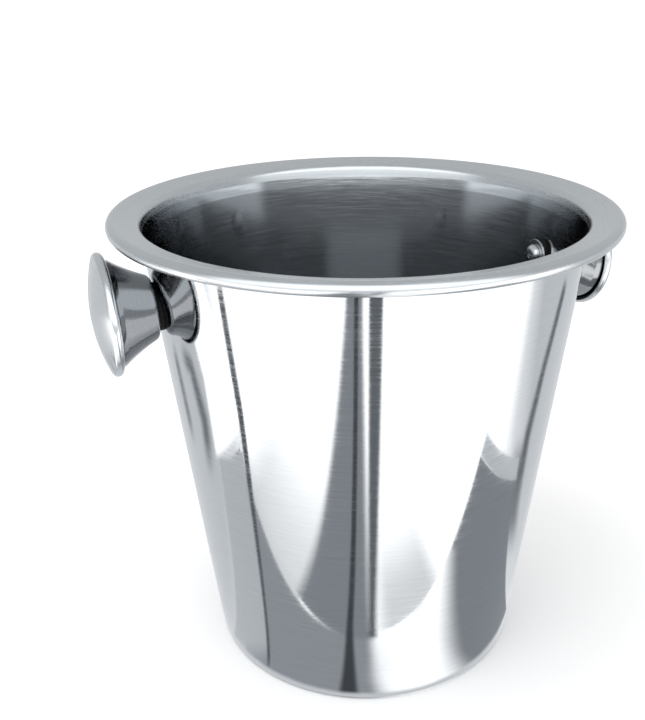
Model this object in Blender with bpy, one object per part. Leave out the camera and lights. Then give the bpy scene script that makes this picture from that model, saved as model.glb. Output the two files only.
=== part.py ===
"""Champagne bucket: a drawn stainless steel shell with a rolled rim and two side knobs.

Every separate piece is its own object. Lengths are in metres, +Z is up, the bucket
stands on z = 0 and its axis is the Z axis. The knobs sit on +X (right) and -X (left).
Each knob is a domed cap crimped over a hollow flared neck. A screw from inside the
bucket passes through the wall into a threaded insert welded in the neck.
"""

import math

import bmesh
import bpy
from mathutils import Matrix, Vector

MM = 0.001

# Bucket shell: one sheet, described by its outer (weather) side.
SHEET = 0.9 * MM
BUCKET_HEIGHT = 212.5 * MM
RIM_RADIUS = 112.5 * MM
WALL_RADIUS_AT_FLOOR = 73.6 * MM
WALL_RADIUS_AT_RIM = 99.3 * MM
BASE_BEND = 2.0 * MM
THROAT_BEND = 2.2 * MM
FLANGE_RISE_DEG = 13.0
BEAD_RADIUS = 2.9 * MM
BEAD_END_DEG = -195.0
BODY_SEGMENTS = 60

WALL_LEAN = math.atan2(WALL_RADIUS_AT_RIM - WALL_RADIUS_AT_FLOOR, BUCKET_HEIGHT)

# Knob: distances along its axis are counted outward from the wall's outer side.
KNOB_HEIGHT = 177.9 * MM
KNOB_DIP_DEG = 2.2
KNOB_SEGMENTS = 28
KNOB_SHEET = 0.8 * MM
CAP_RADIUS = 26.2 * MM
CAP_EDGE_SLOPE_DEG = 20.3
HEM_AT = 21.2 * MM
HEM_RADIUS = 2.1 * MM
HEM_END_DEG = -72.0
NECK_START = 1.5 * MM
NECK_CORNER = 3.0 * MM
NECK_FOOT_RADIUS = 13.4 * MM
NECK_MOUTH_RADIUS = 22.3 * MM
NECK_MOUTH_AT = 17.2 * MM
NECK_FLANGE_START = 23.7 * MM
NECK_FLANGE_AT = 20.7 * MM
NECK_FLANGE_RADIUS = 25.0 * MM
NECK_WAIST_AT = 10.0 * MM
NECK_WAIST_RADIUS = 17.6 * MM
CLAMP_GAP = 0.15 * MM

# Fasteners: a five millimetre machine screw with a domed head.
THREAD_RADIUS = 2.5 * MM
THREAD_GAP = 0.05 * MM
CLEARANCE_RADIUS = 2.9 * MM
SCREW_TIP_AT = 8.6 * MM
HEAD_RADIUS = 4.75 * MM
HEAD_HEIGHT = 2.75 * MM
SOCKET_RADIUS = 1.73 * MM
SOCKET_DEPTH = 1.6 * MM
INSERT_RADIUS = 4.6 * MM
INSERT_LENGTH = 4.6 * MM
GASKET_RADIUS = 10.4 * MM
SEAL_RADIUS = 8.0 * MM
SEAL_THICKNESS = 1.5 * MM
WASHER_RADIUS = 7.4 * MM
WASHER_THICKNESS = 1.0 * MM

STEEL_MIRROR = ("polished_steel", (0.80, 0.81, 0.83, 1.0), 1.0, 0.08)
STEEL_CAP = ("knob_steel", (0.78, 0.79, 0.81, 1.0), 1.0, 0.14)
STEEL_PLAIN = ("fastener_steel", (0.62, 0.63, 0.65, 1.0), 1.0, 0.28)
RUBBER = ("black_rubber", (0.015, 0.015, 0.016, 1.0), 0.0, 0.55)


def clear_scene():
    """Remove whatever the start-up file holds."""
    for old in list(bpy.data.objects):
        bpy.data.objects.remove(old, do_unlink=True)


def make_material(node_name, kind):
    """Give a piece its own metal or rubber material."""
    label, colour, metallic, roughness = kind
    material = bpy.data.materials.new(node_name + "_" + label)
    material.use_nodes = True
    shader = material.node_tree.nodes["Principled BSDF"]
    shader.inputs["Base Color"].default_value = colour
    shader.inputs["Metallic"].default_value = metallic
    shader.inputs["Roughness"].default_value = roughness
    material.diffuse_color = colour
    return material


def arc(centre, radius, start_deg, end_deg, steps):
    """Points on an arc in the (radius, height) plane, both ends included."""
    points = []
    for step in range(steps + 1):
        angle = math.radians(start_deg + (end_deg - start_deg) * step / steps)
        points.append((centre[0] + radius * math.cos(angle), centre[1] + radius * math.sin(angle)))
    return points


def throat_centre(flange_end):
    """Centre of the throat bend, THROAT_BEND away from the wall's and the flange's outer sides."""
    rise = math.radians(FLANGE_RISE_DEG)
    wall_shift = THROAT_BEND / math.cos(WALL_LEAN)
    flange_shift = THROAT_BEND / math.cos(rise)
    flange_height = flange_end[1] - flange_end[0] * math.tan(rise) - flange_shift
    top = WALL_RADIUS_AT_FLOOR + wall_shift + math.tan(WALL_LEAN) * flange_height
    radius = top / (1.0 - math.tan(WALL_LEAN) * math.tan(rise))
    return radius, flange_height + radius * math.tan(rise)


def shell_line(inset):
    """The bucket's section from the centre of the base to the end of the rolled bead.

    inset is 0 on the outer side of the sheet and SHEET on the inner side.
    """
    lean_deg = math.degrees(WALL_LEAN)
    flange_deg = 90.0 + FLANGE_RISE_DEG

    # Bend between the flat base and the wall, tangent to both.
    bend_radius = WALL_RADIUS_AT_FLOOR + math.tan(WALL_LEAN) * BASE_BEND - BASE_BEND / math.cos(WALL_LEAN)
    base_arc = arc((bend_radius, BASE_BEND), BASE_BEND - inset, -90.0, -lean_deg, 3)

    # Rolled bead, which the flange's underside meets at a tangent.
    bead_centre = (RIM_RADIUS - BEAD_RADIUS, BUCKET_HEIGHT - BEAD_RADIUS)
    bead_arc = arc(bead_centre, BEAD_RADIUS - SHEET + inset, flange_deg, BEAD_END_DEG, 10)
    flange_end = arc(bead_centre, BEAD_RADIUS - SHEET, flange_deg, BEAD_END_DEG, 1)[0]

    # Throat bend between the wall and the flange, tangent to both.
    throat_arc = arc(throat_centre(flange_end), THROAT_BEND + inset, 180.0 - lean_deg, flange_deg, 5)
    return [(0.0, inset)] + base_arc + throat_arc + bead_arc


def knob_point(side, distance):
    """A point on a knob's axis, measured outward from the wall."""
    wall_radius = WALL_RADIUS_AT_FLOOR + math.tan(WALL_LEAN) * KNOB_HEIGHT
    return Vector((side * wall_radius, 0.0, KNOB_HEIGHT)) + knob_axis(side) * distance


def knob_axis(side):
    """Unit vector that points out of the bucket along a knob."""
    dip = math.radians(KNOB_DIP_DEG)
    return Vector((side * math.cos(dip), 0.0, -math.sin(dip)))


def knob_frame(side):
    """Placement whose local +Z is the knob's outward axis."""
    outward = knob_axis(side)
    across = Vector((0.0, side, 0.0))
    upward = outward.cross(across)
    turn = Matrix((across, upward, outward)).transposed().to_4x4()
    return Matrix.Translation(knob_point(side, 0.0)) @ turn


def finish_mesh(name, bm, kind, placement=None):
    """Turn a bmesh into a named object with its own material."""
    bmesh.ops.recalc_face_normals(bm, faces=bm.faces)
    mesh = bpy.data.meshes.new(name)
    bm.to_mesh(mesh)
    bm.free()
    piece = bpy.data.objects.new(name, mesh)
    bpy.context.scene.collection.objects.link(piece)
    if placement is not None:
        piece.matrix_world = placement
    mesh.materials.append(make_material(name, kind))
    return piece


def lathe(section, segments, closed=True):
    """Revolve a (radius, height) outline about the local Z axis.

    Points on the axis become one vertex. closed joins the last point to the first.
    """
    bm = bmesh.new()
    rings = []
    for radius, height in section:
        if radius < 1e-7:
            rings.append([bm.verts.new((0.0, 0.0, height))])
            continue
        ring = []
        for step in range(segments):
            angle = 2.0 * math.pi * step / segments
            ring.append(bm.verts.new((radius * math.cos(angle), radius * math.sin(angle), height)))
        rings.append(ring)
    pairs = list(zip(rings, rings[1:]))
    if closed:
        pairs.append((rings[-1], rings[0]))
    for first, second in pairs:
        join_rings(bm, first, second, segments)
    return bm


def join_rings(bm, first, second, segments):
    """Bridge two neighbouring rings, either of which may be a single axis point."""
    if len(first) == 1 and len(second) == 1:
        return
    for step in range(segments):
        after = (step + 1) % segments
        if len(first) == 1:
            bm.faces.new((first[0], second[step], second[after]))
        elif len(second) == 1:
            bm.faces.new((first[step], second[0], first[after]))
        else:
            bm.faces.new((first[step], second[step], second[after], first[after]))


def cut(piece, cutter, operation="DIFFERENCE"):
    """Apply a Boolean with a helper object, then drop the helper."""
    cutter.hide_render = True
    cutter.display_type = "WIRE"
    modifier = piece.modifiers.new("cut", "BOOLEAN")
    modifier.operation = operation
    modifier.solver = "EXACT"
    modifier.object = cutter
    bpy.context.view_layer.update()
    graph = bpy.context.evaluated_depsgraph_get()
    result = bpy.data.meshes.new_from_object(piece.evaluated_get(graph))
    piece.modifiers.clear()
    old = piece.data
    piece.data = result
    bpy.data.meshes.remove(old)
    bpy.data.objects.remove(cutter, do_unlink=True)


def smooth(piece, angle_deg=35.0):
    """Shade a round piece smooth and keep its real corners sharp."""
    piece.data.shade_smooth()
    piece.data.set_sharp_from_angle(angle=math.radians(angle_deg))


def helper(bm, placement=None):
    """A temporary solid for a Boolean cut."""
    bmesh.ops.recalc_face_normals(bm, faces=bm.faces)
    mesh = bpy.data.meshes.new("cutter")
    bm.to_mesh(mesh)
    bm.free()
    tool = bpy.data.objects.new("cutter", mesh)
    bpy.context.scene.collection.objects.link(tool)
    if placement is not None:
        tool.matrix_world = placement
    return tool


def wall_cone(offset):
    """Solid cone that follows the wall's outer side, grown by offset."""
    grow = offset / math.cos(WALL_LEAN)
    low = WALL_RADIUS_AT_FLOOR + grow
    high = WALL_RADIUS_AT_RIM + grow
    section = [(0.0, 0.0), (low, 0.0), (high, BUCKET_HEIGHT), (0.0, BUCKET_HEIGHT)]
    return lathe(section, BODY_SEGMENTS, closed=False)


def build_bucket():
    """The drawn shell: flat base, tapered wall, sloping flange and rolled bead."""
    outer = shell_line(0.0)
    inner = shell_line(SHEET)
    section = outer + inner[::-1]
    bm = lathe(section, BODY_SEGMENTS, closed=False)
    piece = finish_mesh("bucket_body", bm, STEEL_MIRROR)
    for side in (1.0, -1.0):
        drill = [(0.0, -8.0 * MM), (CLEARANCE_RADIUS, -8.0 * MM), (CLEARANCE_RADIUS, 8.0 * MM), (0.0, 8.0 * MM)]
        cut(piece, helper(lathe(drill, 24, closed=False), knob_frame(side)))
    smooth(piece)
    return piece


def build_cap(name, side):
    """Domed cap whose edge is rolled back around the neck's flange."""
    edge_deg = 90.0 - CAP_EDGE_SLOPE_DEG
    hem_centre = (CAP_RADIUS - HEM_RADIUS, HEM_AT)
    hem_outer = arc(hem_centre, HEM_RADIUS, edge_deg, HEM_END_DEG, 6)
    hem_inner = arc(hem_centre, HEM_RADIUS - KNOB_SHEET, edge_deg, HEM_END_DEG, 4)
    dome_radius = hem_outer[0][0] / math.cos(math.radians(edge_deg))
    dome_centre = (0.0, hem_outer[0][1] - dome_radius * math.sin(math.radians(edge_deg)))
    outer = [(0.0, dome_centre[1] + dome_radius)] + arc(dome_centre, dome_radius, 86.5, edge_deg, 5)[:-1]
    inner = [(0.0, outer[0][1] - KNOB_SHEET)]
    inner += arc(dome_centre, dome_radius - KNOB_SHEET, 84.0, edge_deg, 3)[:-1]
    section = outer + hem_outer + (inner + hem_inner)[::-1]
    piece = finish_mesh(name, lathe(section, KNOB_SEGMENTS, closed=False), STEEL_CAP, knob_frame(side))
    smooth(piece, 50.0)
    return piece


def neck_line(inset):
    """The neck's section from the screw hole to the flange held in the cap's hem."""
    flare = math.atan2(NECK_WAIST_RADIUS - NECK_FOOT_RADIUS, NECK_WAIST_AT - NECK_START)
    centre_at = NECK_START + NECK_CORNER
    centre_radius = NECK_FOOT_RADIUS + NECK_CORNER * (math.tan(flare) - 1.0 / math.cos(flare))
    line = [(CLEARANCE_RADIUS, NECK_START + inset)]
    line += arc((centre_radius, centre_at), NECK_CORNER - inset, -90.0, -math.degrees(flare), 4)
    side_step = inset / math.cos(flare)
    line.append((NECK_WAIST_RADIUS - side_step, NECK_WAIST_AT))
    line.append((NECK_MOUTH_RADIUS - side_step, NECK_MOUTH_AT))
    line.append((NECK_FLANGE_START - inset * 0.5, NECK_FLANGE_AT + inset))
    line.append((NECK_FLANGE_RADIUS, NECK_FLANGE_AT + inset))
    return line


def build_neck(name, side):
    """Hollow flared neck: flat foot with the screw hole, rounded corner, flange."""
    section = neck_line(0.0) + neck_line(KNOB_SHEET)[::-1]
    piece = finish_mesh(name, lathe(section, KNOB_SEGMENTS), STEEL_CAP, knob_frame(side))
    smooth(piece)
    return piece


def build_insert(name, side):
    """Hexagonal threaded insert that sits on the inside of the neck's foot."""
    low = NECK_START + KNOB_SHEET + CLAMP_GAP
    high = low + INSERT_LENGTH
    bore = THREAD_RADIUS + THREAD_GAP
    hexagon = [(0.0, low), (INSERT_RADIUS, low), (INSERT_RADIUS, high), (0.0, high)]
    piece = finish_mesh(name, lathe(hexagon, 6, closed=False), STEEL_PLAIN, knob_frame(side))
    drill = [(0.0, low - MM), (bore, low - MM), (bore, high + MM), (0.0, high + MM)]
    cut(piece, helper(lathe(drill, 24, closed=False), knob_frame(side)))
    smooth(piece)
    return piece


def build_gasket(name, side):
    """Rubber ring between wall and neck, cut to the wall's curve on one side."""
    high = NECK_START - CLAMP_GAP
    edge = 0.2 * MM
    section = [
        (CLEARANCE_RADIUS, -3.0 * MM),
        (GASKET_RADIUS, -3.0 * MM),
        (GASKET_RADIUS, high - edge),
        (GASKET_RADIUS - edge, high),
        (CLEARANCE_RADIUS, high),
    ]
    piece = finish_mesh(name, lathe(section, KNOB_SEGMENTS), RUBBER, knob_frame(side))
    cut(piece, helper(wall_cone(CLAMP_GAP)))
    smooth(piece)
    return piece


def seal_bottom():
    """Distance of the seal's flat inner face from the wall's outer side."""
    return -(SHEET + CLAMP_GAP + SEAL_THICKNESS)


def build_seal(name, side):
    """Rubber sealing washer inside the bucket, cut to the wall's curve."""
    section = [
        (CLEARANCE_RADIUS, seal_bottom()),
        (SEAL_RADIUS, seal_bottom()),
        (SEAL_RADIUS, 3.0 * MM),
        (CLEARANCE_RADIUS, 3.0 * MM),
    ]
    piece = finish_mesh(name, lathe(section, 28), RUBBER, knob_frame(side))
    cut(piece, helper(wall_cone(-SHEET - CLAMP_GAP)), "INTERSECT")
    smooth(piece)
    return piece


def washer_bottom():
    """Distance of the steel washer's head-side face from the wall's outer side."""
    return seal_bottom() - CLAMP_GAP - WASHER_THICKNESS


def build_washer(name, side):
    """Flat steel washer that spreads the screw's load over the seal."""
    low = washer_bottom()
    high = low + WASHER_THICKNESS
    edge = 0.2 * MM
    section = [
        (CLEARANCE_RADIUS, low),
        (WASHER_RADIUS - edge, low),
        (WASHER_RADIUS, low + edge),
        (WASHER_RADIUS, high),
        (CLEARANCE_RADIUS, high),
    ]
    piece = finish_mesh(name, lathe(section, 28), STEEL_PLAIN, knob_frame(side))
    smooth(piece)
    return piece


def build_screw(name, side):
    """Domed-head screw with a hexagon socket, from inside the bucket into the insert."""
    seat = washer_bottom() - CLAMP_GAP
    tip = SCREW_TIP_AT
    crown = seat - HEAD_HEIGHT
    section = [
        (0.0, crown),
        (1.9 * MM, crown),
        (3.3 * MM, crown + 0.45 * MM),
        (4.3 * MM, crown + 1.25 * MM),
        (HEAD_RADIUS, crown + 2.2 * MM),
        (HEAD_RADIUS, seat),
        (THREAD_RADIUS, seat),
        (THREAD_RADIUS, tip - 0.6 * MM),
        (THREAD_RADIUS - 0.6 * MM, tip),
        (0.0, tip),
    ]
    piece = finish_mesh(name, lathe(section, 24, closed=False), STEEL_PLAIN, knob_frame(side))
    socket = [
        (0.0, crown - MM),
        (SOCKET_RADIUS, crown - MM),
        (SOCKET_RADIUS, crown + SOCKET_DEPTH),
        (0.0, crown + SOCKET_DEPTH),
    ]
    cut(piece, helper(lathe(socket, 6, closed=False), knob_frame(side)))
    smooth(piece)
    return piece


def build_knob(prefix, side):
    """All pieces of one knob and its fastening."""
    build_cap(prefix + "_knob_cap", side)
    build_neck(prefix + "_knob_neck", side)
    build_insert(prefix + "_knob_insert", side)
    build_gasket(prefix + "_outer_gasket", side)
    build_seal(prefix + "_inner_seal", side)
    build_washer(prefix + "_inner_washer", side)
    build_screw(prefix + "_knob_screw", side)


def main():
    clear_scene()
    build_bucket()
    build_knob("right", 1.0)
    build_knob("left", -1.0)


main()
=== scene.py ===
"""Looks of the champagne bucket: turned sheet-metal pieces, polished steel and the studio."""

import math

import bpy
from mathutils import Matrix, Vector


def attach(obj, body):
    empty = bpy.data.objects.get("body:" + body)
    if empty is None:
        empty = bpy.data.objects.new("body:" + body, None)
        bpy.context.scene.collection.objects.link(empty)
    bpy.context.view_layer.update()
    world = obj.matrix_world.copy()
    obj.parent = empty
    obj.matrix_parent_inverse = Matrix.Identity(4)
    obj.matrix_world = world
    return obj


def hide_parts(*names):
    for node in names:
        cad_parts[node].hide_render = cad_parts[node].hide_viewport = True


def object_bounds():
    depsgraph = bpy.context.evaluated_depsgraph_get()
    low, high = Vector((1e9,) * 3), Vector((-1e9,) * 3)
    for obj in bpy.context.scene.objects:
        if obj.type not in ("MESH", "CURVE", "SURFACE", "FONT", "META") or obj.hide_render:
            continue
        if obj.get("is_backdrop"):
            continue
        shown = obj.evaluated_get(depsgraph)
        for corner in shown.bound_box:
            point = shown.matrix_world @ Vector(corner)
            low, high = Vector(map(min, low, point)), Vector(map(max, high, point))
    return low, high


MM = 0.001

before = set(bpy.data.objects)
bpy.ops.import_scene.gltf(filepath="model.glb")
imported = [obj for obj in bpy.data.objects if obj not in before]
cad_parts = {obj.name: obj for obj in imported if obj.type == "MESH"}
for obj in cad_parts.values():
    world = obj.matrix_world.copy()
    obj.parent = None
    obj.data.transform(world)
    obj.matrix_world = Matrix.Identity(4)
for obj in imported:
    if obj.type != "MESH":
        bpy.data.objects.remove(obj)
cad_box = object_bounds()
scene = bpy.context.scene
scene.view_settings.view_transform = "Standard"

# ---------------------------------------------------------------------------
# Sizes, in metres, shared with the CAD part. The rim and the height are a tenth of a
# millimetre smaller, so that the finer mesh stays inside the box of the CAD's facets.
# ---------------------------------------------------------------------------
SHEET = 0.9 * MM
BUCKET_HEIGHT = 212.4 * MM
RIM_RADIUS = 112.4 * MM
WALL_RADIUS_AT_FLOOR = 73.6 * MM
WALL_RADIUS_AT_RIM = 99.29 * MM
BASE_BEND = 2.0 * MM
THROAT_BEND = 2.2 * MM
FLANGE_RISE = math.radians(13.0)
BEAD_RADIUS = 2.9 * MM
BEAD_END_DEG = -195.0

KNOB_HEIGHT = 177.9 * MM
KNOB_DIP = math.radians(2.2)
KNOB_SHEET = 0.8 * MM
CAP_RADIUS = 26.2 * MM
CAP_EDGE_SLOPE_DEG = 20.3
HEM_AT = 21.2 * MM
HEM_RADIUS = 2.1 * MM
HEM_END_DEG = -72.0
NECK_START = 1.5 * MM
NECK_CORNER = 3.0 * MM
NECK_FOOT_RADIUS = 13.4 * MM
NECK_WAIST_AT = 10.0 * MM
NECK_WAIST_RADIUS = 17.6 * MM
NECK_MOUTH_RADIUS = 22.3 * MM
NECK_MOUTH_AT = 17.2 * MM
NECK_FLANGE_START = 23.7 * MM
NECK_FLANGE_AT = 20.7 * MM
NECK_FLANGE_RADIUS = 25.0 * MM
NECK_CURVE_STEPS = 24
NECK_CURVE_CLEAR = 0.4 * MM
CLAMP_GAP = 0.15 * MM

THREAD_RADIUS = 2.5 * MM
CLEARANCE_RADIUS = 2.9 * MM
SCREW_TIP_AT = 8.6 * MM
TIP_CHAMFER = 0.6 * MM
HEAD_RADIUS = 4.75 * MM
HEAD_HEIGHT = 2.75 * MM
HEAD_EDGE = 0.12 * MM
CROWN_RADIUS = 2.3 * MM
CROWN_DROP = 0.03 * MM
DOME_HEIGHT = 2.2 * MM
SOCKET_RADIUS = 1.73 * MM
SOCKET_DEPTH = 1.6 * MM
SOCKET_EDGE = 0.15 * MM
GASKET_RADIUS = 10.4 * MM
GASKET_EDGE = 0.2 * MM
GASKET_CHAMFER = 0.15 * MM
GASKET_LIP = 0.05 * MM
SEAL_RADIUS = 8.0 * MM
SEAL_THICKNESS = 1.5 * MM
SEAL_EDGE = 0.3 * MM
WASHER_RADIUS = 7.4 * MM
WASHER_THICKNESS = 1.0 * MM
WASHER_EDGE = 0.22 * MM

WALL_LEAN = math.atan2(WALL_RADIUS_AT_RIM - WALL_RADIUS_AT_FLOOR, BUCKET_HEIGHT)

# The camera stands this far round from the front, towards the left knob
CAMERA_TURN = math.radians(-23.5)


# ---------------------------------------------------------------------------
# Mesh building
# ---------------------------------------------------------------------------
def arc(centre, radius, start_deg, end_deg, steps):
    """Points on an arc in the (radius, height) plane, both ends included."""
    points = []
    for step in range(steps + 1):
        angle = math.radians(start_deg + (end_deg - start_deg) * step / steps)
        points.append((centre[0] + radius * math.cos(angle), centre[1] + radius * math.sin(angle)))
    return points


def refine(section, longest):
    """Split the long straight runs of a section, so that the mesh stays even."""
    points = [section[0]]
    for start, end in zip(section, section[1:]):
        length = math.hypot(end[0] - start[0], end[1] - start[1])
        parts = max(1, math.ceil(length / longest))
        for part in range(1, parts + 1):
            share = part / parts
            points.append((start[0] + (end[0] - start[0]) * share,
                           start[1] + (end[1] - start[1]) * share))
    return points


# A smaller radius than this is a point on the axis
ON_AXIS = 1e-7
# Length that the UV map gives to the strip that closes a section
CLOSING_LENGTH = 1.0 * MM


def turned_point(radius, height, angle):
    return radius * math.cos(angle), radius * math.sin(angle), height


def turned_mesh(name, section, segments, closed=False, shape=turned_point):
    """Revolve a (radius, height) section about local Z.

    The UV map holds the turn (0 to 1) and the distance along the section in metres.
    closed joins the section's last point to its first. shape gives the point that is
    used for a radius, height and angle.
    """
    verts, faces, loop_uv = [], [], []
    lengths = [0.0]
    for start, end in zip(section, section[1:]):
        lengths.append(lengths[-1] + math.hypot(end[0] - start[0], end[1] - start[1]))
    rings = []
    for radius, height in section:
        if radius < ON_AXIS:
            rings.append([len(verts)])
            verts.append((0.0, 0.0, height))
            continue
        ring = []
        for step in range(segments):
            angle = 2.0 * math.pi * step / segments
            ring.append(len(verts))
            verts.append(shape(radius, height, angle))
        rings.append(ring)
    pairs = [(ring, ring + 1) for ring in range(len(rings) - 1)]
    if closed:
        pairs.append((len(rings) - 1, 0))
    for low, high in pairs:
        first, second = rings[low], rings[high]
        v_low = lengths[low]
        v_high = lengths[high] if high > low else lengths[low] + CLOSING_LENGTH
        for step in range(segments):
            after = (step + 1) % segments
            u, u_after = step / segments, (step + 1) / segments
            if len(first) == 1:
                faces.append((first[0], second[after], second[step]))
                loop_uv += [(u, v_low), (u_after, v_high), (u, v_high)]
            elif len(second) == 1:
                faces.append((first[step], first[after], second[0]))
                loop_uv += [(u, v_low), (u_after, v_low), (u, v_high)]
            else:
                faces.append((first[step], first[after], second[after], second[step]))
                loop_uv += [(u, v_low), (u_after, v_low), (u_after, v_high), (u, v_high)]
    mesh = bpy.data.meshes.new(name)
    mesh.from_pydata(verts, [], faces)
    layer = mesh.uv_layers.new(name="turn")
    for index, uv in enumerate(loop_uv):
        layer.data[index].uv = uv
    mesh.update()
    return mesh


def turn_outward(mesh):
    """Make the mesh's faces look outward, whichever way its section ran."""
    volume = 0.0
    for face in mesh.polygons:
        corners = [mesh.vertices[index].co for index in face.vertices]
        for second, third in zip(corners[1:], corners[2:]):
            volume += corners[0].dot(second.cross(third))
    if volume < 0.0:
        mesh.flip_normals()


SHARP_EDGE = math.radians(40.0)


def add_piece(name, mesh, body, slot, node, placement=None):
    """Make a mesh a named piece that rides on a body and stands for a CAD node."""
    turn_outward(mesh)
    mesh.shade_smooth()
    mesh.set_sharp_from_angle(angle=SHARP_EDGE)
    piece = bpy.data.objects.new(name, mesh)
    scene.collection.objects.link(piece)
    if placement is not None:
        piece.matrix_world = placement
    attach(piece, body)
    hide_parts(node)


# ---------------------------------------------------------------------------
# Node materials
# ---------------------------------------------------------------------------
# Height of the throat, above which the steel is satin: how much rougher, and over what height
THROAT_FROM = 204.3 * MM
SATIN_EXTRA = 0.17
SATIN_BLEND = 1.0 * MM

# Brushing noises: how fast each runs per metre round the piece and along its section
FINE_LINES = (60.0, 2400.0)
COMBED_LINES = (55.0, 1300.0)
BROAD_BANDS = (14.0, 260.0)
# Depth of the brushing lines, and their colour as a share of the colour between them
LINE_DEPTH = 0.004 * MM
LINE_TONE = 0.92

# Dark shadow line in a folded seam
SEAM_SHADOW_TONE = (0.012, 0.012, 0.013, 1.0)
SEAM_EDGE = 0.3 * MM
SEAM_LOWER_EDGE = 0.8 * MM


class Nodes:
    """Short helpers around one material's node tree."""

    def __init__(self, name):
        self.material = bpy.data.materials.new(name)
        self.material.use_nodes = True
        self.tree = self.material.node_tree
        self.shader = self.tree.nodes["Principled BSDF"]

    def add(self, kind, **settings):
        node = self.tree.nodes.new(kind)
        for key, value in settings.items():
            setattr(node, key, value)
        return node

    def link(self, source, target):
        self.tree.links.new(source, target)

    def math(self, operation, first, second):
        """Sum or product of two values, each a socket or a number."""
        node = self.add("ShaderNodeMath", operation=operation)
        for socket, value in zip(node.inputs, (first, second)):
            if isinstance(value, (int, float)):
                socket.default_value = value
            else:
                self.link(value, socket)
        return node.outputs[0]

    def noise(self, vector, scale, detail, roughness):
        node = self.add("ShaderNodeTexNoise")
        node.inputs["Scale"].default_value = scale
        node.inputs["Detail"].default_value = detail
        node.inputs["Roughness"].default_value = roughness
        self.link(vector, node.inputs["Vector"])
        return node.outputs["Fac"]

    def spread(self, value, low, high, to_low, to_high):
        """Map value from low..high to to_low..to_high, held at both ends."""
        node = self.add("ShaderNodeMapRange")
        self.link(value, node.inputs["Value"])
        node.inputs["From Min"].default_value = low
        node.inputs["From Max"].default_value = high
        node.inputs["To Min"].default_value = to_low
        node.inputs["To Max"].default_value = to_high
        return node.outputs["Result"]

    def groove_vector(self, around, across):
        """Coordinates that run slowly round a turned piece and fast along its section."""
        place = self.add("ShaderNodeTexCoord")
        parts = self.add("ShaderNodeSeparateXYZ")
        self.link(place.outputs["Object"], parts.inputs[0])
        lines = self.add("ShaderNodeUVMap", uv_map="turn")
        line_parts = self.add("ShaderNodeSeparateXYZ")
        self.link(lines.outputs["UV"], line_parts.inputs[0])
        joined = self.add("ShaderNodeCombineXYZ")
        self.link(self.math("MULTIPLY", parts.outputs["X"], around), joined.inputs["X"])
        self.link(self.math("MULTIPLY", parts.outputs["Y"], around), joined.inputs["Y"])
        self.link(self.math("MULTIPLY", line_parts.outputs["Y"], across), joined.inputs["Z"])
        return joined.outputs[0]

    def lean(self, normal, direction, amount):
        """Tip a normal towards a direction by a small varying amount."""
        offset = self.add("ShaderNodeVectorMath", operation="SCALE")
        self.link(direction, offset.inputs[0])
        self.link(amount, offset.inputs["Scale"])
        tipped = self.add("ShaderNodeVectorMath", operation="ADD")
        self.link(normal, tipped.inputs[0])
        self.link(offset.outputs[0], tipped.inputs[1])
        unit = self.add("ShaderNodeVectorMath", operation="NORMALIZE")
        self.link(tipped.outputs[0], unit.inputs[0])
        return unit.outputs[0]

    def bump(self, height, distance, strength, below=None):
        node = self.add("ShaderNodeBump")
        node.inputs["Distance"].default_value = distance
        node.inputs["Strength"].default_value = strength
        self.link(height, node.inputs["Height"])
        if below is not None:
            self.link(below, node.inputs["Normal"])
        return node.outputs["Normal"]


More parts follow.
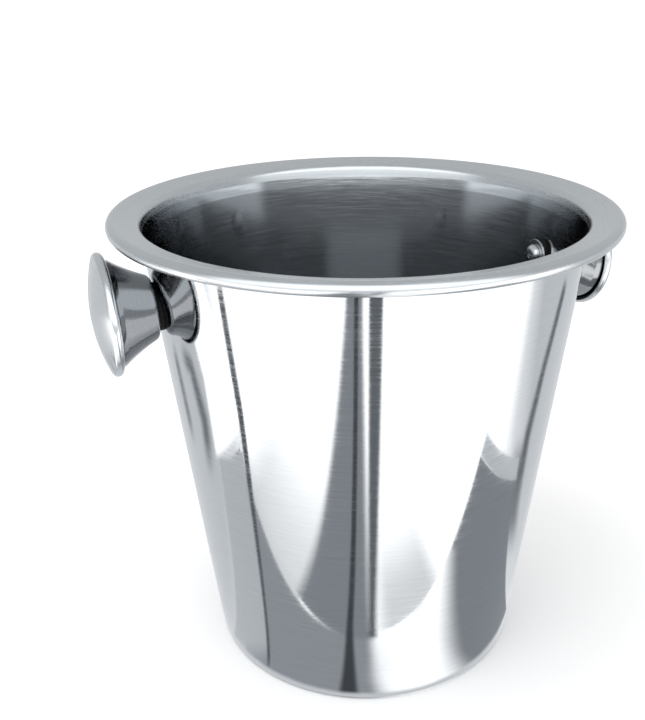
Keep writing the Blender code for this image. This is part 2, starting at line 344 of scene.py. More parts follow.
def polished_steel(name, colour, gloss, streak, sway, wave_depth, satin_above=None, seam=None):
    """Polished sheet steel, brushed round its own axis, with faint waves and handling marks.

    gloss is the roughness of the polish between the brushing lines, streak how much rougher the
    lines are, and sway how far they turn the surface sideways, so that the edges of reflections
    feather along them. Above the height satin_above the finish is duller. seam, as (radius from,
    to, height from, to), paints a shadow into a folded seam as a near-black colour.
    """
    nodes = Nodes(name)
    shader = nodes.shader
    shader.inputs["Metallic"].default_value = 1.0
    shader.inputs["Anisotropic"].default_value = 0.5
    shader.inputs["Anisotropic Rotation"].default_value = 0.25
    tangent = nodes.add("ShaderNodeTangent", direction_type="RADIAL", axis="Z").outputs[0]
    nodes.link(tangent, shader.inputs["Tangent"])

    place = nodes.add("ShaderNodeTexCoord").outputs["Object"]
    lines = nodes.noise(nodes.groove_vector(*FINE_LINES), 1.0, 3.0, 0.6)
    combed = nodes.noise(nodes.groove_vector(*COMBED_LINES), 1.0, 2.0, 0.5)
    bands = nodes.noise(nodes.groove_vector(*BROAD_BANDS), 1.0, 2.0, 0.5)
    waves = nodes.noise(place, 26.0, 1.0, 0.4)
    marks = nodes.noise(place, 60.0, 4.0, 0.6)

    rough = nodes.spread(marks, 0.35, 0.7, gloss * 0.85, gloss * 1.25)
    rough = nodes.math("ADD", rough, nodes.spread(bands, 0.3, 0.7, 0.0, gloss * 0.35))
    rough = nodes.math("ADD", rough, nodes.spread(lines, 0.40, 0.75, 0.0, streak))
    parts = nodes.add("ShaderNodeSeparateXYZ")
    nodes.link(place, parts.inputs[0])
    if satin_above is not None:
        satin = nodes.spread(parts.outputs["Z"], satin_above, satin_above + SATIN_BLEND,
                             0.0, SATIN_EXTRA)
        rough = nodes.math("ADD", rough, satin)
    nodes.link(rough, shader.inputs["Roughness"])

    tone = nodes.add("ShaderNodeMix", data_type="RGBA")
    tone.inputs["A"].default_value = (*[channel * LINE_TONE for channel in colour], 1.0)
    tone.inputs["B"].default_value = (*colour, 1.0)
    nodes.link(nodes.spread(lines, 0.3, 0.6, 0.0, 1.0), tone.inputs["Factor"])
    surface = tone.outputs["Result"]
    # Painted shadow: inside the seam's ring the colour is mixed to near black
    if seam is not None:
        flat = nodes.add("ShaderNodeCombineXYZ")
        nodes.link(parts.outputs["X"], flat.inputs["X"])
        nodes.link(parts.outputs["Y"], flat.inputs["Y"])
        radius = nodes.add("ShaderNodeVectorMath", operation="LENGTH")
        nodes.link(flat.outputs[0], radius.inputs[0])
        low, high, bottom, top = seam
        away, height = radius.outputs["Value"], parts.outputs["Z"]
        inside = nodes.spread(away, low - SEAM_EDGE, low, 0.0, 1.0)
        for limit in (nodes.spread(away, high, high + SEAM_EDGE, 1.0, 0.0),
                      nodes.spread(height, bottom, bottom + SEAM_LOWER_EDGE, 0.0, 1.0),
                      nodes.spread(height, top, top + SEAM_EDGE, 1.0, 0.0)):
            inside = nodes.math("MULTIPLY", inside, limit)
        shadow = nodes.add("ShaderNodeMix", data_type="RGBA")
        nodes.link(surface, shadow.inputs["A"])
        shadow.inputs["B"].default_value = SEAM_SHADOW_TONE
        nodes.link(inside, shadow.inputs["Factor"])
        surface = shadow.outputs["Result"]
    nodes.link(surface, shader.inputs["Base Color"])

    grooved = nodes.bump(lines, LINE_DEPTH, 0.35, nodes.bump(waves, wave_depth, 0.25))
    swing = nodes.spread(combed, 0.3, 0.7, -sway, sway)
    nodes.link(nodes.lean(grooved, tangent, swing), shader.inputs["Normal"])
    return nodes.material


def fastener_steel(name):
    """Bright turned steel of screws, washers and inserts, with faint random stains that vary its
    tone and roughness.
    """
    nodes = Nodes(name)
    shader = nodes.shader
    shader.inputs["Metallic"].default_value = 1.0
    place = nodes.add("ShaderNodeTexCoord").outputs["Object"]
    grain = nodes.noise(place, 900.0, 3.0, 0.6)
    stains = nodes.noise(place, 180.0, 3.0, 0.5)
    nodes.link(nodes.spread(stains, 0.3, 0.7, 0.2, 0.36), shader.inputs["Roughness"])
    tone = nodes.add("ShaderNodeMix", data_type="RGBA")
    tone.inputs["A"].default_value = (0.52, 0.53, 0.55, 1.0)
    tone.inputs["B"].default_value = (0.68, 0.69, 0.71, 1.0)
    nodes.link(nodes.spread(stains, 0.35, 0.65, 0.0, 1.0), tone.inputs["Factor"])
    nodes.link(tone.outputs["Result"], shader.inputs["Base Color"])
    nodes.link(nodes.bump(grain, 0.02 * MM, 0.4), shader.inputs["Normal"])
    return nodes.material


def black_rubber(name):
    """Moulded black rubber with a fine matt skin."""
    nodes = Nodes(name)
    shader = nodes.shader
    place = nodes.add("ShaderNodeTexCoord").outputs["Object"]
    skin = nodes.noise(place, 2200.0, 3.0, 0.6)
    bloom = nodes.noise(place, 240.0, 2.0, 0.5)
    nodes.link(nodes.spread(bloom, 0.3, 0.7, 0.6, 0.75), shader.inputs["Roughness"])
    shader.inputs["Specular IOR Level"].default_value = 0.2
    tone = nodes.add("ShaderNodeMix", data_type="RGBA")
    tone.inputs["A"].default_value = (0.004, 0.004, 0.004, 1.0)
    tone.inputs["B"].default_value = (0.010, 0.010, 0.011, 1.0)
    nodes.link(nodes.spread(bloom, 0.3, 0.7, 0.0, 1.0), tone.inputs["Factor"])
    nodes.link(tone.outputs["Result"], shader.inputs["Base Color"])
    nodes.link(nodes.bump(skin, 0.03 * MM, 0.5), shader.inputs["Normal"])
    return nodes.material


# ---------------------------------------------------------------------------
# The bucket's shell
# ---------------------------------------------------------------------------
SHELL_SEGMENTS = 240
LONGEST_RUN = 4.0 * MM
BEND_STEPS, THROAT_STEPS, BEAD_STEPS = 14, 16, 48
WAVE_DEPTH = 0.05 * MM


def throat_centre(bead_tangent):
    """Centre of the throat bend, THROAT_BEND away from the wall's and flange's lower lines."""
    wall_shift = THROAT_BEND / math.cos(WALL_LEAN)
    flange_shift = THROAT_BEND / math.cos(FLANGE_RISE)
    height_term = bead_tangent[1] - bead_tangent[0] * math.tan(FLANGE_RISE) - flange_shift
    top = WALL_RADIUS_AT_FLOOR + wall_shift + math.tan(WALL_LEAN) * height_term
    radius = top / (1.0 - math.tan(WALL_LEAN) * math.tan(FLANGE_RISE))
    height = bead_tangent[1] - (bead_tangent[0] - radius) * math.tan(FLANGE_RISE) - flange_shift
    return radius, height


def shell_line(inset):
    """Section of one side of the sheet, from the middle of the base to the bead's end."""
    lean_deg = math.degrees(WALL_LEAN)
    rise_deg = math.degrees(FLANGE_RISE)
    bend_radius = (WALL_RADIUS_AT_FLOOR + math.tan(WALL_LEAN) * BASE_BEND
                   - BASE_BEND / math.cos(WALL_LEAN))
    base_arc = arc((bend_radius, BASE_BEND), BASE_BEND - inset, -90.0, -lean_deg, BEND_STEPS)
    bead_centre = (RIM_RADIUS - BEAD_RADIUS, BUCKET_HEIGHT - BEAD_RADIUS)
    bead_start = 90.0 + rise_deg
    bead_arc = arc(bead_centre, BEAD_RADIUS - SHEET + inset, bead_start, BEAD_END_DEG, BEAD_STEPS)
    tangent = arc(bead_centre, BEAD_RADIUS - SHEET, bead_start, bead_start + 1.0, 1)[0]
    throat_arc = arc(throat_centre(tangent), THROAT_BEND + inset, 180.0 - lean_deg, bead_start,
                     THROAT_STEPS)
    line = [(0.0, inset)] + base_arc
    return refine(line + throat_arc + bead_arc, LONGEST_RUN)


def build_shell():
    """Base, tapered wall, sloping flange and rolled bead in one sheet.

    The sheet's underside from the throat to the end of the bead is rougher, and its colour is
    darkened as painted shade under the rim.
    """
    outer = shell_line(0.0)
    inner = shell_line(SHEET)[::-1]
    mesh = turned_mesh("bucket_shell", outer + inner, SHELL_SEGMENTS)
    for material in (
        polished_steel("bucket_steel", (0.61, 0.625, 0.64), gloss=0.03, streak=0.12,
                       sway=0.0014, wave_depth=WAVE_DEPTH, satin_above=THROAT_FROM),
        # Painted shade: the underside under the rim has a far darker colour than the bright steel
        polished_steel("bucket_underside_shaded_steel", (0.16, 0.16, 0.165), gloss=0.2, streak=0.05,
                       sway=0.002, wave_depth=WAVE_DEPTH),
        # Painted shade: the inside of the bucket has a darker colour than its outside
        polished_steel("bucket_inside_shaded_steel", (0.38, 0.392, 0.405), gloss=0.06, streak=0.12,
                       sway=0.003, wave_depth=WAVE_DEPTH),
    ):
        mesh.materials.append(material)
    # Painted shade: faces of the underside and of the inside get the darker steels
    underside, inside = 1, 2
    outer_throat = next(index for index, point in enumerate(outer) if point[1] > THROAT_FROM)
    inner_throat = len(outer) + next(
        index for index, point in enumerate(inner)
        if point[1] < THROAT_FROM and point[0] < WALL_RADIUS_AT_RIM)
    for face in mesh.polygons:
        ring = min(face.vertices) // SHELL_SEGMENTS
        if outer_throat <= ring < len(outer):
            face.material_index = underside
        elif ring >= inner_throat:
            face.material_index = inside
    add_piece("bucket_shell", mesh, "bucket", "polished_steel", "bucket_body")


# ---------------------------------------------------------------------------
# Knobs
# ---------------------------------------------------------------------------
DOME_START_DEG = 89.2
KNOB_SEGMENTS = 128
RING_SEGMENTS = 96
SCREW_SEGMENTS = 72
OUTER_STEPS, INNER_STEPS = 24, 12
CORNER_STEPS = 14
EDGE_STEPS = 6
HEAD_STEPS = 12

# Painted shadow in the seams under the hem, as radius from, to and height from, to on a knob's axis
CAP_SEAM_SHADOW = (22.0 * MM, 24.85 * MM, 17.6 * MM, 21.0 * MM)
NECK_SEAM_SHADOW = (23.15 * MM, 26.0 * MM, 17.6 * MM, 24.0 * MM)


def knob_axis(side):
    """Direction of a knob's axis, out of the bucket; side is -1 at the left and 1 at the right."""
    return Vector((side * math.cos(KNOB_DIP), 0.0, -math.sin(KNOB_DIP)))


def knob_frame(side):
    """Placement whose local +Z points out of the bucket along a knob's axis."""
    wall_radius = WALL_RADIUS_AT_FLOOR + math.tan(WALL_LEAN) * KNOB_HEIGHT
    outward = knob_axis(side)
    across = Vector((0.0, side, 0.0))
    upward = outward.cross(across)
    turn = Matrix((across, upward, outward)).transposed().to_4x4()
    return Matrix.Translation((side * wall_radius, 0.0, KNOB_HEIGHT)) @ turn


def cap_section():
    """Closed section of the domed cap, its edge rolled back as a hem."""
    edge_deg = 90.0 - CAP_EDGE_SLOPE_DEG
    hem_centre = (CAP_RADIUS - HEM_RADIUS, HEM_AT)
    hem_outer = arc(hem_centre, HEM_RADIUS, edge_deg, HEM_END_DEG, OUTER_STEPS)
    hem_inner = arc(hem_centre, HEM_RADIUS - KNOB_SHEET, edge_deg, HEM_END_DEG, INNER_STEPS)
    dome_radius = hem_outer[0][0] / math.cos(math.radians(edge_deg))
    dome_centre = (0.0, hem_outer[0][1] - dome_radius * math.sin(math.radians(edge_deg)))
    outer = [(0.0, dome_centre[1] + dome_radius)]
    outer += arc(dome_centre, dome_radius, DOME_START_DEG, edge_deg, OUTER_STEPS)[:-1]
    inner = [(0.0, outer[0][1] - KNOB_SHEET)]
    inner += arc(dome_centre, dome_radius - KNOB_SHEET, DOME_START_DEG, edge_deg, INNER_STEPS)[:-1]
    return outer + hem_outer + (inner + hem_inner)[::-1]


def neck_curve(share):
    """Point (radius, distance) on the neck's flared side, from 0 at the foot to 1 at the mouth."""
    start = Vector((NECK_FOOT_RADIUS, NECK_START))
    middle = Vector((NECK_WAIST_RADIUS, NECK_WAIST_AT))
    end = Vector((NECK_MOUTH_RADIUS, NECK_MOUTH_AT))
    pull = middle * 2.0 - (start + end) * 0.5
    return start * (1.0 - share) ** 2 + pull * 2.0 * share * (1.0 - share) + end * share ** 2


# Share of the neck's curve that its slope at the foot is measured over
FOOT_SHARE = 0.02


def neck_line(inset):
    """One side of the neck's sheet, from the screw hole to the flange inside the cap's hem."""
    first, second = neck_curve(0.0), neck_curve(FOOT_SHARE)
    flare = math.atan2(second[0] - first[0], second[1] - first[1])
    centre_at = NECK_START + NECK_CORNER
    centre_radius = NECK_FOOT_RADIUS + NECK_CORNER * (math.tan(flare) - 1.0 / math.cos(flare))
    line = [(CLEARANCE_RADIUS, NECK_START + inset)]
    line += arc((centre_radius, centre_at), NECK_CORNER - inset, -90.0, -math.degrees(flare),
                CORNER_STEPS)
    corner_top = line[-1][1]
    for step in range(1, NECK_CURVE_STEPS + 1):
        point = neck_curve(step / NECK_CURVE_STEPS)
        if point[1] < corner_top + NECK_CURVE_CLEAR:
            continue
        line.append((point[0] - inset / math.cos(flare), point[1]))
    line.append((NECK_FLANGE_START - inset * 0.5, NECK_FLANGE_AT + inset))
    line.append((NECK_FLANGE_RADIUS, NECK_FLANGE_AT + inset))
    return line


# How far in and out of a knob's foot the wall is looked for, and how many times that is halved
WALL_SEARCH = (-12.0 * MM, 6.0 * MM)
HALVINGS = 40


def on_wall(side, radius, angle, offset):
    """Distance on a knob's axis where the line at (radius, angle) meets the wall grown by offset."""
    placement = knob_frame(side)
    start = placement @ Vector((radius * math.cos(angle), radius * math.sin(angle), 0.0))
    axis = knob_axis(side)
    low, high = WALL_SEARCH
    grow = offset / math.cos(WALL_LEAN)
    for _ in range(HALVINGS):
        middle = (low + high) / 2.0
        point = start + axis * middle
        wall = WALL_RADIUS_AT_FLOOR + math.tan(WALL_LEAN) * point.z + grow
        if math.hypot(point.x, point.y) > wall:
            high = middle
        else:
            low = middle
    return (low + high) / 2.0


def gasket_mesh(side):
    """Outer rubber ring: flat under the neck, cut to the wall's curve on the other side."""
    top = NECK_START - CLAMP_GAP
    # Heights far below the ring stand for the wall's curve and for the small lip above it
    on_curve, on_lip = -1.0, -0.9
    section = [(CLEARANCE_RADIUS, on_curve), (GASKET_RADIUS - GASKET_CHAMFER, on_curve)]
    section += [(GASKET_RADIUS, on_lip), (GASKET_RADIUS, top - GASKET_EDGE)]
    edge_centre = (GASKET_RADIUS - GASKET_EDGE, top - GASKET_EDGE)
    section += arc(edge_centre, GASKET_EDGE, 0.0, 90.0, EDGE_STEPS)[1:]
    section += [(CLEARANCE_RADIUS, top)]

    def shape(radius, height, angle):
        if height in (on_curve, on_lip):
            lift = GASKET_LIP if height == on_lip else 0.0
            height = on_wall(side, radius, angle, CLAMP_GAP) + lift
        return turned_point(radius, height, angle)

    return turned_mesh("gasket", section, RING_SEGMENTS, True, shape)


def seal_mesh(side):
    """Inner rubber washer: flat under the steel washer, cut to the wall's curve outside."""
    low = -(SHEET + CLAMP_GAP + SEAL_THICKNESS)
    # A height far above the washer stands for the wall's curve
    on_curve = 1.0
    section = [(CLEARANCE_RADIUS, low), (SEAL_RADIUS - SEAL_EDGE, low)]
    edge_centre = (SEAL_RADIUS - SEAL_EDGE, low + SEAL_EDGE)
    section += arc(edge_centre, SEAL_EDGE, -90.0, 0.0, EDGE_STEPS)[1:]
    section += [(SEAL_RADIUS, on_curve), (CLEARANCE_RADIUS, on_curve)]

    def shape(radius, height, angle):
        if height == on_curve:
            height = on_wall(side, radius, angle, -SHEET - CLAMP_GAP)
        return turned_point(radius, height, angle)

    return turned_mesh("seal", section, RING_SEGMENTS, True, shape)


def washer_bottom():
    """Where the steel washer's inner face lies on a knob's axis."""
    return -(SHEET + CLAMP_GAP + SEAL_THICKNESS) - CLAMP_GAP - WASHER_THICKNESS


def washer_section():
    """Closed section of the flat steel washer, its inner edges eased."""
    low = washer_bottom()
    high, corner = low + WASHER_THICKNESS, low + WASHER_EDGE
    section = [(CLEARANCE_RADIUS + WASHER_EDGE, low), (WASHER_RADIUS - WASHER_EDGE, low)]
    section += arc((WASHER_RADIUS - WASHER_EDGE, corner), WASHER_EDGE, -90.0, 0.0, EDGE_STEPS)[1:]
    section += [(WASHER_RADIUS, high), (CLEARANCE_RADIUS, high), (CLEARANCE_RADIUS, corner)]
    return section


def screw_mesh():
    """Domed-head screw: hexagon socket, rounded head, shank with a chamfered tip."""
    seat = washer_bottom() - CLAMP_GAP
    crown = seat - HEAD_HEIGHT
    socket = [(0.0, crown + SOCKET_DEPTH), (SOCKET_RADIUS, crown + SOCKET_DEPTH)]
    socket += [(SOCKET_RADIUS, crown + SOCKET_EDGE), (SOCKET_RADIUS + SOCKET_EDGE, crown)]
    head = [(CROWN_RADIUS, crown + CROWN_DROP)]
    for step in range(1, HEAD_STEPS + 1):
        angle = math.radians(90.0 * step / HEAD_STEPS)
        radius = CROWN_RADIUS + (HEAD_RADIUS - CROWN_RADIUS) * math.sin(angle)
        head.append((radius, crown + DOME_HEIGHT * (1.0 - math.cos(angle))))
    shank = [(HEAD_RADIUS, seat - HEAD_EDGE), (HEAD_RADIUS - HEAD_EDGE, seat)]
    shank += [(THREAD_RADIUS, seat), (THREAD_RADIUS, SCREW_TIP_AT - TIP_CHAMFER)]
    shank += [(THREAD_RADIUS - TIP_CHAMFER, SCREW_TIP_AT), (0.0, SCREW_TIP_AT)]
    section = socket + head + shank
    # A little beyond the socket's rim and floor, so that their points count as its own
    socket_rim = SOCKET_RADIUS + SOCKET_EDGE * 1.01
    socket_floor = crown + SOCKET_DEPTH + 0.01 * MM
    half_sector = math.radians(30.0)

    def shape(radius, height, angle):
        if 0.0 < radius <= socket_rim and height < socket_floor:
            from_flat = (angle + half_sector) % (2.0 * half_sector) - half_sector
            radius *= math.cos(half_sector) / math.cos(from_flat)
        return turned_point(radius, height, angle)

    return turned_mesh("screw", section, SCREW_SEGMENTS, False, shape)


def build_knobs():
    """Both knobs with their fastenings; the threaded inserts keep their CAD nodes."""
    cap_steel = polished_steel("knob_cap_steel", (0.64, 0.655, 0.67), gloss=0.20, streak=0.05,
                               sway=0.001, wave_depth=0.02 * MM, seam=CAP_SEAM_SHADOW)
    neck_steel = polished_steel("knob_neck_steel", (0.32, 0.33, 0.34), gloss=0.08, streak=0.08,
                                sway=0.003, wave_depth=0.03 * MM, seam=NECK_SEAM_SHADOW)
    bright_steel = fastener_steel("fastener_steel")
    rubber = black_rubber("black_rubber")
    for prefix, side in (("left", -1.0), ("right", 1.0)):
        placement = knob_frame(side)
        knob, screw = prefix + "_knob", prefix + "_screw"
        dome = turned_mesh("dome", cap_section(), KNOB_SEGMENTS)
        stem_section = neck_line(0.0) + neck_line(KNOB_SHEET)[::-1]
        stem = turned_mesh("stem", stem_section, KNOB_SEGMENTS, True)
        washer = turned_mesh("washer", washer_section(), RING_SEGMENTS, True)
        for piece_name, mesh, body, slot, node, material in (
            ("knob_dome", dome, knob, "knob_steel", "knob_cap", cap_steel),
            ("knob_stem", stem, knob, "knob_steel", "knob_neck", neck_steel),
            ("spacer_ring", gasket_mesh(side), "bucket", "black_rubber", "outer_gasket", rubber),
            ("seal_ring", seal_mesh(side), "bucket", "black_rubber", "inner_seal", rubber),
            ("flat_washer", washer, "bucket", "fastener_steel", "inner_washer", bright_steel),
            ("socket_screw", screw_mesh(), screw, "fastener_steel", "knob_screw", bright_steel),
        ):
            mesh.materials.append(material)
            add_piece(prefix + "_" + piece_name, mesh, body, slot, prefix + "_" + node, placement)
        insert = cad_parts[prefix + "_knob_insert"]
        insert.data.materials.clear()
        insert.data.materials.append(bright_steel)


# ---------------------------------------------------------------------------
# Studio: pale floor, soft light, and the cards that only the steel reflects
# ---------------------------------------------------------------------------
STEEL_REFLECTS = 0.62
WHITE = 278.0


def shine(grey):
    """Brightness that the polished steel shows as this display grey (255 is white)."""
    share = grey / 255.0
    linear = share / 12.92 if share < 0.04 else ((share + 0.055) / 1.055) ** 2.4
    return linear / STEEL_REFLECTS


def mix(first, second, share):
    """Value this share of the way from the first to the second."""
    return first + (second - first) * share


RING_STEPS = 48


def ring_line(radius, half):
    """Closed round line of a ring-shaped card."""
    turns = [math.tau * step / RING_STEPS for step in range(RING_STEPS + 1)]
    return [(radius * math.cos(turn), radius * math.sin(turn), half) for turn in turns]


# Plain cards laid round the bucket, seen only by the steel. Each is a strip along a line, in
# millimetres from the bucket's axis with the camera at -y: the points of the line with the half
# width there, one tone as a display grey, and how far the sides and the two ends fade.
# Later cards lie on top of earlier ones. They were placed and toned from where the
# table, its joint, the shadows and the dark gap between the lights that the photographed wall
# reflects fall on the floor.
CARDS = {
    "floor_card": (
        [(-3000, 0, 3000), (3000, 0, 3000)],
        WHITE, 0, (0, 0)),
    "far_front_card": (
        [(-2600, -2050, 1500), (2600, -2050, 1500)],
        196, 170, (0, 0)),
    "front_card": (
        [(-220, -105, 125), (-60, -112, 125)],
        222, 125, (60, 10)),
    "back_card": (
        [(-2600, 1370, 1500), (-60, 1370, 1500), (60, 1430, 1500), (2600, 1430, 1500)],
        186, 80, (0, 0)),
    "left_light_card": (
        [(-225, -68, 60), (-330, -54, 60), (-400, -28, 66), (-700, 90, 110)],
        WHITE, 12, (10, 0)),
    "left_table_card": (
        [(-217, -67, 26), (14, -78, 34)],
        140, 2, (2, 12)),
    "left_table_far_card": (
        [(-217, -60, 40), (-50, -46, 14)],
        176, 3, (2, 20)),
    "right_table_far_card": (
        [(110, 4, 34), (250, 12, 34)],
        130, 30, (50, 50)),
    "right_table_card": (
        [(36, -62, 50), (200, -52, 58)],
        126, 2, (26, 0)),
    "right_light_card": (
        [(14, -62, 34), (100, -126, 34)],
        WHITE, 34, (14, 0)),
    "fold_card": (
        [(200, -48, 62), (225, -46, 62)],
        184, 2, (0, 2)),
    "mat_card": (
        [(50, -110, 46), (50, -190, 42)],
        212, 24, (0, 70)),
    "gap_card": (
        [(-31, -106, 46), (-29, -380, 33), (-27, -700, 35)],
        128, 14, (2, 100)),
    "gap_left_card": (
        [(-7, -72, 7), (-13, -112, 5), (-22, -380, 8), (-30, -700, 12)],
        66, 4, (0, 100)),
    "gap_right_card": (
        [(7, -107, 7), (36, -380, 24), (74, -700, 42)],
        96, 8, (0, 100)),
    "seam_card": (
        [(-46, -58, 1.6), (-150, -88, 5), (-250, -118, 10), (-460, -159, 15)],
        86, 3, (10, 60)),
    "right_shadow_card": (
        [(140, 4, 24), (240, 42, 24), (320, 102, 25), (460, 240, 30)],
        100, 22, (80, 40)),
    "left_shadow_card": (
        [(-185, 14, 24), (-260, 20, 28), (-330, 64, 28), (-345, 135, 28)],
        112, 26, (60, 60)),
    "left_streak_card": (
        [(-205, 78, 24), (-340, 200, 30)],
        128, 26, (50, 60)),
    "foot_ring_card": (
        ring_line(WALL_RADIUS_AT_FLOOR / MM + 1.5, 3.0),
        196, 2.5, (0, 0)),
}


# A card this bright is plain white; the darker it is, the nearer its red and blue come to these
BRIGHT_CARD = 1.2
DARK_RED, DARK_BLUE = 0.90, 1.10


def steel_only(card):
    """Show a card to mirror reflections only."""
    card.visible_camera = False
    card.visible_diffuse = False
    card.visible_shadow = False
    card.visible_transmission = False
    card.visible_volume_scatter = False


def card_material(name, tone):
    """Even glow of one tone, a little cooler when darker, that fades out at the card's edges."""
    material = bpy.data.materials.new(name)
    material.use_nodes = True
    tree = material.node_tree
    tree.nodes.clear()
    output = tree.nodes.new("ShaderNodeOutputMaterial")
    clear = tree.nodes.new("ShaderNodeBsdfTransparent")
    glow = tree.nodes.new("ShaderNodeEmission")
    bright = min(1.0, shine(tone) / BRIGHT_CARD)
    red, blue = mix(DARK_RED, 1.0, bright), mix(DARK_BLUE, 1.0, bright)
    glow.inputs["Color"].default_value = (red, 1.0, blue, 1.0)
    glow.inputs["Strength"].default_value = shine(tone)
    cover = tree.nodes.new("ShaderNodeAttribute")
    cover.attribute_name = "cover"
    choose = tree.nodes.new("ShaderNodeMixShader")
    tree.links.new(cover.outputs["Fac"], choose.inputs["Fac"])
    tree.links.new(clear.outputs[0], choose.inputs[1])
    tree.links.new(glow.outputs[0], choose.inputs[2])
    tree.links.new(choose.outputs[0], output.inputs["Surface"])
    return material


def fade(distance, width):
    """Cover at this distance from a card's edge: a smooth step across the fade's width."""
    if width == 0:
        return 1.0
    share = min(1.0, max(0.0, distance / width))
    return share * share * (3.0 - 2.0 * share)


def spot_on_line(line, distance):
    """Point and half width at this distance along a card's line."""
    for (x0, y0, half0), (x1, y1, half1) in zip(line, line[1:]):
        length = math.hypot(x1 - x0, y1 - y0)
        if distance <= length:
            break
        distance -= length
    else:
        distance = length
    share = distance / length
    return mix(x0, x1, share), mix(y0, y1, share), mix(half0, half1, share)


CARD_ROWS = 72
CARD_COLUMNS = 24
FADE_ROWS = 6
# Rows before and after a row that its direction is taken from, which rounds the line's corners
TURN_ROWS = 8


def build_card(name, line, tone, side_fade, end_fades, height):
    """Flat strip along a line of (x, y, half width), fading at its sides and ends."""
    length = sum(math.dist(first[:2], second[:2]) for first, second in zip(line, line[1:]))
    # Extra rows in the fades, where the cover changes fast
    travelled = sorted({length * row / CARD_ROWS for row in range(CARD_ROWS + 1)}
                       | {end_fades[0] * part / FADE_ROWS for part in range(FADE_ROWS + 1)}
                       | {length - end_fades[1] * part / FADE_ROWS for part in range(FADE_ROWS + 1)})
    points = [spot_on_line(line, distance) for distance in travelled]
    verts, covers, faces = [], [], []
    for row, (x, y, half) in enumerate(points):
        before = points[max(row - TURN_ROWS, 0)]
        after = points[min(row + TURN_ROWS, len(points) - 1)]
        ahead = Vector((after[0] - before[0], after[1] - before[1])).normalized()
        end_cover = fade(travelled[row], end_fades[0]) * fade(length - travelled[row], end_fades[1])
        for column in range(CARD_COLUMNS + 1):
            # Grid lines crowd towards the sides, where the card fades
            share = math.sin(math.pi * (column / CARD_COLUMNS - 0.5))
            verts.append(((x - ahead.y * half * share) * MM,
                          (y + ahead.x * half * share) * MM, height))
            covers.append(end_cover * fade(half * (1.0 - abs(share)), min(side_fade, half)))
    for row in range(len(points) - 1):
        for column in range(CARD_COLUMNS):
            corner = row * (CARD_COLUMNS + 1) + column
            above = corner + CARD_COLUMNS + 1
            faces.append((corner, above, above + 1, corner + 1))
    mesh = bpy.data.meshes.new(name)
    mesh.from_pydata(verts, [], faces)
    layer = mesh.attributes.new("cover", "FLOAT", "POINT")
    layer.data.foreach_set("value", covers)
    mesh.materials.append(card_material(name, tone))
    card = bpy.data.objects.new(name, mesh)
    scene.collection.objects.link(card)
    card.rotation_euler = (0.0, 0.0, CAMERA_TURN)
    card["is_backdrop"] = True
    steel_only(card)


LOWEST_CARD = -0.98 * MM
CARD_STEP = 0.03 * MM


def build_cards():
    """All the cards, each a little above the one before and all below the bucket's base."""
    height = LOWEST_CARD
    for name, (line, tone, side_fade, end_fades) in CARDS.items():
        build_card(name, line, tone, side_fade, end_fades, height)
        height += CARD_STEP


FLOOR_HALF = 40.0
FLOOR_HEIGHT = -0.2 * MM


def build_floor():
    """Large plain pale floor seen by the camera; the steel sees the cards in its place."""
    mesh = bpy.data.meshes.new("floor")
    corners = [(FLOOR_HALF * x, FLOOR_HALF * y, FLOOR_HEIGHT)
               for x, y in ((-1, -1), (1, -1), (1, 1), (-1, 1))]
    mesh.from_pydata(corners, [], [(0, 1, 2, 3)])
    material = bpy.data.materials.new("pale_floor")
    material.use_nodes = True
    shader = material.node_tree.nodes["Principled BSDF"]
    shader.inputs["Base Color"].default_value = (0.97, 0.97, 0.97, 1.0)
    shader.inputs["Roughness"].default_value = 0.9
    shader.inputs["Specular IOR Level"].default_value = 0.1
    mesh.materials.append(material)
    floor = bpy.data.objects.new("floor", mesh)
    scene.collection.objects.link(floor)
    floor.visible_glossy = False
    floor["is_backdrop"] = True


SURROUND_LIGHT = 1.1
SURROUND_GREY = 171.0
SURROUND_WHITE = 270.0
SURROUND_TINT = (0.96, 1.0, 1.02, 1.0)
# Where the surround turns from grey to white, as the cosine of the angle from the front
GREY_BELOW, WHITE_ABOVE = 0.30, 0.55


def build_world():
    """Studio surround: plain white light, seen by the steel as white in front and grey elsewhere."""
    world = bpy.data.worlds.new("studio")
    scene.world = world
    world.use_nodes = True
    tree = world.node_tree
    tree.nodes.clear()
    output = tree.nodes.new("ShaderNodeOutputWorld")
    plain = tree.nodes.new("ShaderNodeBackground")
    plain.inputs["Color"].default_value = (1.0, 1.0, 1.0, 1.0)
    plain.inputs["Strength"].default_value = SURROUND_LIGHT
    mirrored = tree.nodes.new("ShaderNodeBackground")
    mirrored.inputs["Color"].default_value = SURROUND_TINT
    place = tree.nodes.new("ShaderNodeTexCoord")
    towards = tree.nodes.new("ShaderNodeVectorMath")
    towards.operation = "DOT_PRODUCT"
    towards.inputs[1].default_value = (math.sin(CAMERA_TURN), -math.cos(CAMERA_TURN), 0.0)
    tree.links.new(place.outputs["Generated"], towards.inputs[0])
    ramp = tree.nodes.new("ShaderNodeMapRange")
    ramp.interpolation_type = "SMOOTHSTEP"
    ramp.inputs["From Min"].default_value = GREY_BELOW
    ramp.inputs["From Max"].default_value = WHITE_ABOVE
    ramp.inputs["To Min"].default_value = shine(SURROUND_GREY)
    ramp.inputs["To Max"].default_value = shine(SURROUND_WHITE)
    tree.links.new(towards.outputs["Value"], ramp.inputs["Value"])
    tree.links.new(ramp.outputs["Result"], mirrored.inputs["Strength"])
    path = tree.nodes.new("ShaderNodeLightPath")
    choose = tree.nodes.new("ShaderNodeMixShader")
    tree.links.new(path.outputs["Is Glossy Ray"], choose.inputs["Fac"])
    tree.links.new(plain.outputs[0], choose.inputs[1])
    tree.links.new(mirrored.outputs[0], choose.inputs[2])
    tree.links.new(choose.outputs[0], output.inputs["Surface"])


LAMP_SIZE = 1.6
LAMP_WATTS = 12.0
LAMP_PLACE = Vector((-0.7, -0.5, 1.9))
LAMP_TARGET = Vector((0.0, 0.0, 0.1))


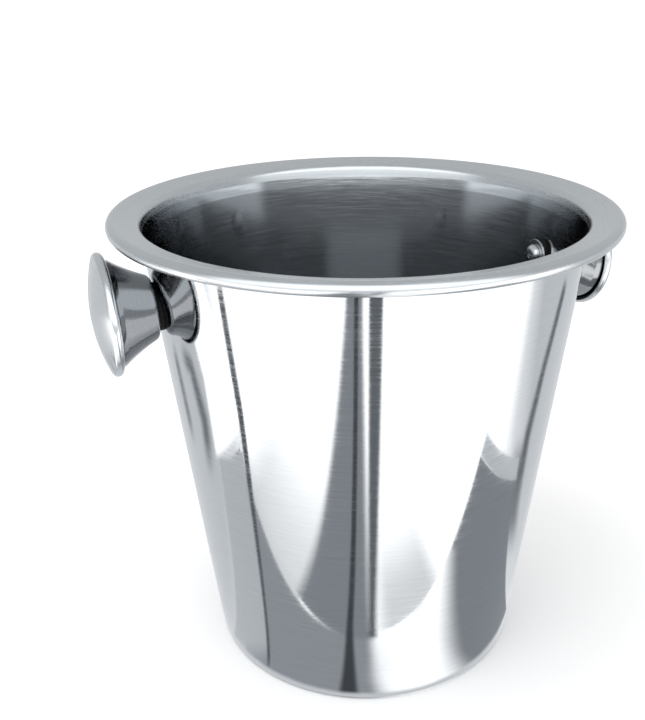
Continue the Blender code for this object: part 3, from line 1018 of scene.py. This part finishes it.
def build_light():
    """One large soft light overhead for the shadow on the floor."""
    data = bpy.data.lights.new("softbox", "AREA")
    data.shape = "DISK"
    data.size = LAMP_SIZE
    data.energy = LAMP_WATTS
    lamp = bpy.data.objects.new("softbox", data)
    scene.collection.objects.link(lamp)
    lamp.location = Matrix.Rotation(CAMERA_TURN, 3, "Z") @ LAMP_PLACE
    lamp.rotation_euler = (LAMP_TARGET - lamp.location).to_track_quat("-Z", "Y").to_euler()
    lamp.visible_glossy = False


CAMERA_ELEVATION = math.radians(25.92)
CAMERA_DISTANCE = 453.65 * MM
CAMERA_PAN = math.radians(-1.894)
CAMERA_TILT = math.radians(22.135)
CAMERA_ROLL = math.radians(-0.736)
# The camera's distance and elevation are measured from this height on the bucket's axis
CAMERA_PIVOT = 112.4 * MM


def build_camera():
    """Camera close to the bucket, looking down into its mouth."""
    place = Vector((0.0, -CAMERA_DISTANCE * math.cos(CAMERA_ELEVATION),
                    CAMERA_PIVOT + CAMERA_DISTANCE * math.sin(CAMERA_ELEVATION)))
    ahead = Vector((math.sin(CAMERA_PAN) * math.cos(CAMERA_TILT),
                    math.cos(CAMERA_PAN) * math.cos(CAMERA_TILT), -math.sin(CAMERA_TILT)))
    level_right = Vector((math.cos(CAMERA_PAN), -math.sin(CAMERA_PAN), 0.0))
    level_up = level_right.cross(ahead)
    right = level_right * math.cos(CAMERA_ROLL) + level_up * math.sin(CAMERA_ROLL)
    up = level_up * math.cos(CAMERA_ROLL) - level_right * math.sin(CAMERA_ROLL)
    turn = Matrix.Rotation(CAMERA_TURN, 4, "Z")
    pose = Matrix((right, up, -ahead)).transposed().to_4x4()
    data = bpy.data.cameras.new("camera")
    data.sensor_width = 36.0
    data.lens = 46.72
    data.shift_x = -0.0174
    data.shift_y = -0.0207
    data.clip_start = 0.01
    camera = bpy.data.objects.new("camera", data)
    scene.collection.objects.link(camera)
    camera.matrix_world = turn @ Matrix.Translation(place) @ pose
    scene.camera = camera


build_shell()
build_knobs()
build_floor()
build_world()
build_light()
build_camera()
build_cards()

boxes = {"cad": cad_box, "visual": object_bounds()}
{name: [list(corner) for corner in box] for name, box in boxes.items()}
